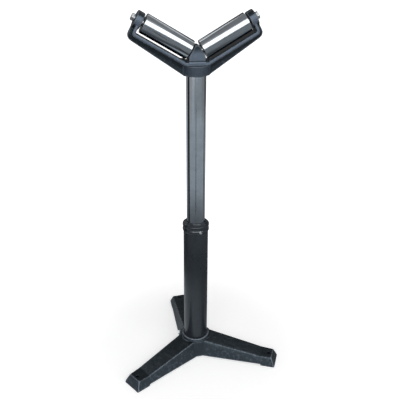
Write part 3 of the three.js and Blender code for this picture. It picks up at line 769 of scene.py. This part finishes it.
def column():
    """The bright tube, with the groove near its top in which the keeper screw's tip runs."""
    foot, top, _, radius = sizes("column")
    bore = radius - TUBE_WALL
    groove = radius - 2 * MM
    screw_low, screw_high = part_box("yoke_keeper_screw")
    groove_low = screw_low.z + 0.3 * MM
    groove_high = screw_high.z - 0.3 * MM
    section = rounded([
        (bore, foot, 0.5 * MM), (radius, foot, 0.9 * MM), (radius, groove_low, 0.3 * MM),
        (groove, groove_low, 0.4 * MM), (groove, groove_high, 0.4 * MM),
        (radius, groove_high, 0.3 * MM), (radius, top, 0.9 * MM), (bore, top, 0.5 * MM),
    ])
    piece = turned("column", section, segments=128, closed=True)
    bored(piece, radial_place("guide_ring_pin"), PIN_HOLE_RADIUS, 10 * MM, 40 * MM)
    return dress(piece, "column", COLUMN_STEEL)


def guide_ring():
    low, high, _, radius = sizes("column_guide_ring")
    section = ring_section(low, high, 25.2 * MM, radius, 0.4 * MM)
    piece = turned("column_guide_ring", section, closed=True)
    bored(piece, radial_place("guide_ring_pin"), PIN_HOLE_RADIUS, 10 * MM, 40 * MM)
    return dress(piece, "column_guide_ring", NYLON)


def chamfered_rod(node, place, material):
    low, high, _, radius = sizes(node, place)
    edge = 0.15 * radius
    loops = [(0, low), (radius - edge, low), (radius, low + edge), (radius, high - edge),
             (radius - edge, high), (0, high)]
    return dress(turned(node, loops, place), node, material)


upright_tube()
guide_collar()
column()
guide_ring()
chamfered_rod("guide_ring_pin", radial_place("guide_ring_pin"), ZINC)
chamfered_rod("lock_pad", radial_place("lock_pad"), BRASS)
hex_bolt("hub_bolt", radial_place("hub_bolt"), head_height=5.3 * MM, shank_radius=4 * MM,
         thread_length=12 * MM, pitch=1.25 * MM, material=ZINC)
socket_screw("lock_screw", radial_place("lock_screw"), radius=4 * MM, tip_radius=3.2 * MM,
             tip_length=1 * MM, flats=4 * MM, depth=4 * MM, pitch=1.25 * MM, material=ZINC)
socket_screw("yoke_keeper_screw", radial_place("yoke_keeper_screw"), radius=4 * MM,
             tip_radius=3 * MM, tip_length=1.8 * MM, flats=4 * MM, depth=3 * MM,
             pitch=1.25 * MM, material=ZINC)


# Rollers and their bearings

def plain_ring(node, place, bore, fillet, material, segments=96):
    low, high, _, radius = sizes(node, place)
    section = ring_section(low, high, bore, radius, fillet)
    return dress(turned(node, section, place, segments, True), node, material)


# The bearings: balls on a circle of this pitch radius, in races a little wider than they are
BALL = 2.1 * MM
BALL_PITCH = 9 * MM
BALL_COUNT = 7
BEARING_SEGMENTS = 12 * BALL_COUNT
RACE = 2.25 * MM
BEARING_WIDTH = 8 * MM
OUTER_SHOULDER = 10.6 * MM
INNER_SHOULDER = 7.4 * MM
AXLE_BORE = 5.2 * MM


def race(shoulder, side):
    """The points of a ball groove, from one side of the bearing to the other."""
    spread = math.degrees(math.acos(abs(shoulder - BALL_PITCH) / RACE))
    centre = (BALL_PITCH, BEARING_WIDTH / 2)
    return arc(centre, side * RACE, RACE, -spread, spread)


def bearing_cup(node, place):
    """The outer ring, with its groove on the inside."""
    radius = 13 * MM
    section = rounded([
        (OUTER_SHOULDER, 0, 0.2 * MM), (radius, 0, 0.5 * MM),
        (radius, BEARING_WIDTH, 0.5 * MM), (OUTER_SHOULDER, BEARING_WIDTH, 0.2 * MM),
    ])
    section += list(reversed(race(OUTER_SHOULDER, 1)))
    return dress(turned(node, section, place, BEARING_SEGMENTS, True), node, BEARING_STEEL)


def bearing_cone(node, place):
    """The inner ring, with its groove on the outside."""
    section = rounded([
        (INNER_SHOULDER, BEARING_WIDTH, 0.2 * MM), (AXLE_BORE, BEARING_WIDTH, 0.4 * MM),
        (AXLE_BORE, 0, 0.4 * MM), (INNER_SHOULDER, 0, 0.2 * MM),
    ])
    section += race(INNER_SHOULDER, -1)
    return dress(turned(node, section, place, BEARING_SEGMENTS, True), node, BEARING_STEEL)


def ball_cage(node, place):
    """A pressed ribbon that swells round every ball."""
    middle = BEARING_WIDTH / 2
    start = outer_corner_angle(node, place)
    bm = bmesh.new()

    def half_height(angle):
        return (0.45 + 0.25 * math.cos(BALL_COUNT * (angle - start))) * MM

    def low_edge(angle):
        return middle - half_height(angle)

    def high_edge(angle):
        return middle + half_height(angle)
    inner = BALL_PITCH - 0.75 * MM
    outer = BALL_PITCH + 0.75 * MM
    ribbon = [(inner, low_edge), (outer, low_edge), (outer, high_edge), (inner, high_edge)]
    add_skin(bm, ribbon, BEARING_SEGMENTS, True)
    for i in range(BALL_COUNT):
        angle = start + TURN * i / BALL_COUNT
        centre = Vector((BALL_PITCH * math.cos(angle), BALL_PITCH * math.sin(angle), middle))
        bmesh.ops.create_uvsphere(bm, u_segments=20, v_segments=12, radius=BALL * 0.995,
                                  matrix=Matrix.Translation(centre))
    return dress(new_piece(node, bm, place), node, BEARING_STEEL)


def bearing_shield(node, place):
    """A pressed cover with a rolled rim and a shallow dish."""
    inner = INNER_SHOULDER + 0.3 * MM
    outer = OUTER_SHOULDER - 0.2 * MM
    section = [
        (inner, 0.25 * MM), (inner + 0.15 * MM, 0.05 * MM), (inner + 0.5 * MM, 0.02 * MM),
        (inner + 0.9 * MM, 0.12 * MM), (inner + 1.3 * MM, 0.3 * MM), (outer - 0.7 * MM, 0.3 * MM),
        (outer - 0.4 * MM, 0.1 * MM), (outer - 0.15 * MM, 0), (outer, 0.2 * MM), (outer, 0.7 * MM),
        (outer - 0.6 * MM, 0.7 * MM), (inner + 1.3 * MM, 0.6 * MM), (inner + 0.5 * MM, 0.4 * MM),
        (inner, 0.5 * MM),
    ]
    return dress(turned(node, section, place, BEARING_SEGMENTS, True), node, BEARING_STEEL)


def bearing_housing(node, place):
    """A turned ring with a lip behind the bearing."""
    bore, radius, lip, lip_start, end = (size * MM for size in (13.2, 16.8, 11, 8.3, 11.3))
    section = rounded([
        (bore, 0, 0.3 * MM), (radius, 0, 0.6 * MM), (radius, end, 0.5 * MM),
        (lip, end, 0.3 * MM), (lip, lip_start, 0.2 * MM), (bore, lip_start, 0.2 * MM),
    ])
    return dress(turned(node, section, place, closed=True), node, BEARING_STEEL)


def end_place(node, place, outer):
    """Puts zero at a piece's outward face, with Z looking into the roller."""
    low, high, _, _ = sizes(node, place)
    if outer:
        return place @ Matrix.Translation((0, 0, high)) @ Matrix.Rotation(math.pi, 4, "X")
    return place @ Matrix.Translation((0, 0, low))


for side in ("left", "right"):
    axis = joint_place(f"{side}_roller_spin")
    plain_ring(f"{side}_roller_shell", axis, 17 * MM, 1.2 * MM, ROLLER_STEEL, 160)
    hex_bolt(f"{side}_axle_bolt", axis, head_height=6.4 * MM, shank_radius=5 * MM,
             thread_length=26 * MM, pitch=1.5 * MM, material=ZINC)
    plain_ring(f"{side}_axle_washer", axis, AXLE_BORE, 0.3 * MM, ZINC)
    for end in ("inner", "outer"):
        plain_ring(f"{side}_{end}_spacer", axis, AXLE_BORE, 0.4 * MM, BEARING_STEEL)
        bearing = end_place(f"{side}_{end}_bearing_cup", axis, end == "outer")
        bearing_cup(f"{side}_{end}_bearing_cup", bearing)
        bearing_cone(f"{side}_{end}_bearing_cone", bearing)
        ball_cage(f"{side}_{end}_ball_cage", bearing)
        shield = f"{side}_{end}_bearing_shield"
        bearing_shield(shield, end_place(shield, axis, end == "outer"))
        housing = f"{side}_{end}_bearing_housing"
        bearing_housing(housing, end_place(housing, axis, end == "outer"))
plain_ring("thrust_washer", UPRIGHT, 20 * MM, 0.3 * MM, BRONZE)


# Studio: a pale floor, a soft light, and screens that only shiny surfaces see

HEAD = Vector((0, 0, 0.9))
SCREEN_STEPS = 16
FILL_STRENGTH = 0.35
WHITE_STRENGTH = 1.0


def direction(azimuth, elevation):
    """Angles are in degrees. Azimuth 0 is the viewer's side, and 90 is the right."""
    turn = math.radians(azimuth)
    lift = math.radians(elevation)
    level = math.cos(lift)
    return Vector((math.sin(turn) * level, -math.cos(turn) * level, math.sin(lift)))


def floor():
    """Plain and pale. To the viewer it is white beyond the shadow, as the background is."""
    bm = bmesh.new()
    bmesh.ops.create_grid(bm, x_segments=1, y_segments=1, size=30)
    piece = new_piece("floor", bm)
    finish = Finish("floor_paint")
    grain = finish.noise(2, detail=3)
    seen = finish.node("LightPath").outputs["Is Camera Ray"]
    bright = finish.ramped(finish.length(finish.place), 0.2, 0.8, 0.5, 1)
    finish.set(Base_Color=(0.8, 0.8, 0.8, 1), Roughness=0.9, Normal=finish.bumped(grain, 0.02, 0.3),
               Emission_Color=(1, 1, 1, 1), Emission_Strength=finish.times(seen, bright))
    piece.data.materials.append(finish.material)


def only_mirrored(piece):
    """Only shiny surfaces see this piece."""
    piece.visible_camera = False
    piece.visible_diffuse = False
    piece.visible_shadow = False
    piece.visible_transmission = False


def glowing(name, strength, color=(1, 1, 1)):
    """A material that only gives light. The strength is a number, or a function that builds it."""
    finish = Finish(name)
    finish.nodes.remove(finish.surface)
    level = strength(finish) if callable(strength) else strength
    glow = finish.node("Emission", {"Color": (*color, 1), "Strength": level})
    finish.links.new(glow.outputs["Emission"], finish.nodes["Material Output"].inputs["Surface"])
    return finish.material


def panel(name, azimuths, elevations, distance, strength, color=(1, 1, 1)):
    """A curved screen round the head, between two azimuths and two elevations in degrees."""
    bm = bmesh.new()
    rows = []
    for i in range(SCREEN_STEPS + 1):
        elevation = elevations[0] + (elevations[1] - elevations[0]) * i / SCREEN_STEPS
        row = []
        for j in range(SCREEN_STEPS + 1):
            azimuth = azimuths[0] + (azimuths[1] - azimuths[0]) * j / SCREEN_STEPS
            row.append(bm.verts.new(HEAD + direction(azimuth, elevation) * distance))
        rows.append(row)
    for low, high in zip(rows, rows[1:]):
        for j in range(SCREEN_STEPS):
            bm.faces.new([low[j], low[j + 1], high[j + 1], high[j]])
    piece = new_piece(name, bm)
    piece.data.materials.append(glowing(name, strength, color))
    only_mirrored(piece)


def floor_card():
    """What shiny pieces see of the floor: dim by the stand and lighter with the distance, but
    light again in front of the left leg."""
    def strength(finish):
        away = finish.length(finish.place)
        left_front = finish.node(
            "VectorMath", {0: finish.place, 1: (-0.9, -0.42, 0)}, operation="DOT_PRODUCT")
        beside = finish.ramped(left_front.outputs["Value"], -0.25, 0.15, 0.06, 0.5)
        round_base = finish.times(beside, finish.ramped(away, 0.32, 0.54, 1, 0))
        near = finish.ramped(away, 0.5, 1.25, 0.07, 0.31)
        far = finish.ramped(away, 2, 4, 0, 0.06)
        return finish.plus(round_base, finish.plus(near, far))
    bm = bmesh.new()
    bmesh.ops.create_circle(bm, cap_ends=True, segments=96, radius=9)
    piece = new_piece("floor_card", bm, Matrix.Translation((0, 0, 3 * MM)))
    piece.data.materials.append(glowing("floor_card", strength, (0.88, 0.95, 1)))
    only_mirrored(piece)


def soft_light(name, place, width, height, power):
    data = bpy.data.lights.new(name, "AREA")
    data.shape = "RECTANGLE"
    data.size = width
    data.size_y = height
    data.energy = power
    light = bpy.data.objects.new(name, data)
    light.matrix_world = place
    bpy.context.scene.collection.objects.link(light)


def looking(azimuth, elevation, distance):
    """A place this far from the stand's upper half, whose -Z axis looks at it."""
    away = direction(azimuth, elevation)
    turn = away.to_track_quat("Z", "Y").to_matrix().to_4x4()
    return Matrix.Translation(Vector((0, 0, 0.7)) + away * distance) @ turn


def world():
    """White to the viewer and in mirrors, and a dim fill light for everything else."""
    space = bpy.data.worlds.new("studio")
    space.use_nodes = True
    bpy.context.scene.world = space
    nodes = space.node_tree.nodes
    links = space.node_tree.links
    background = nodes["Background"]
    rays = nodes.new("ShaderNodeLightPath")
    seen = nodes.new("ShaderNodeMath")
    seen.operation = "MAXIMUM"
    links.new(rays.outputs["Is Camera Ray"], seen.inputs[0])
    links.new(rays.outputs["Is Glossy Ray"], seen.inputs[1])
    strength = nodes.new("ShaderNodeMapRange")
    strength.inputs["To Min"].default_value = FILL_STRENGTH
    strength.inputs["To Max"].default_value = WHITE_STRENGTH
    links.new(seen.outputs[0], strength.inputs["Value"])
    links.new(strength.outputs["Result"], background.inputs["Strength"])
    background.inputs["Color"].default_value = (1, 1, 1, 1)


floor()
world()
floor_card()
soft_light("key", looking(azimuth=4, elevation=27.5, distance=2.6), width=4.9, height=1.8, power=50)

COOL = (0.9, 0.96, 1)
# Each screen's name, azimuths, elevations, distance, strength, and colour if it isn't white
for screen in (
        ("front_low", (-30, 55), (-13, -5), 3.4, 0.25, COOL),
        ("front_middle", (-30, 55), (-5, 4), 3.4, 0.3, COOL),
        ("front_left", (-12, 6), (-1.5, 5), 3.35, 0.75, COOL),
        ("canopy", (-180, 180), (50, 90), 3.6, 0.3),
        ("right_side", (48, 110), (20, 50), 3.4, 0.31),
        ("left_side", (-125, -42), (20, 50), 3.4, 0.31),
        ("over_key", (-42, 48), (38, 50), 3.4, 0.6),
        ("back_right", (110, 150), (5, 34), 3.4, 0.1, (0.8, 0.9, 1)),
        ("back_right_high", (110, 155), (34, 50), 3.4, 0.9),
        ("back_left", (-165, -125), (48, 58), 3.4, 1.4),
        ("back_left_low", (-165, -125), (36, 48), 3.4, 0.4),
        ("crown_left", (-120, -98), (57, 70), 3.4, 0.2),
        ("back_high", (150, 195), (24, 50), 3.4, 0.1),
        ("back_middle", (150, 235), (12, 24), 3.4, 0.13),
        ("back_low", (110, 235), (5, 12), 3.5, 0.08),
        ("back_foot", (158, 186), (0.5, 5), 3.5, 0.08),
        ("left_low", (-165, -58), (-15, 20), 3.4, 0.3),
        ("right_low", (55, 112), (-15, 20), 3.4, 0.22),
        ("back_wall", (112, 235), (-15, 5), 3.6, 0.1),
        ("left_flag", (-122, -90), (-60, 20), 0.95, 0.02),
        ("right_flag", (90, 112), (-58, 15), 1.05, 0.1),
        ("front_flag", (-13.5, -9), (-30, -14.5), 1.1, 0.01),
        ("front_near_flag", (-14, -8.5), (-62, -38), 0.707, 0.01),
):
    panel(*screen)

bpy.context.scene.view_settings.view_transform = "Standard"
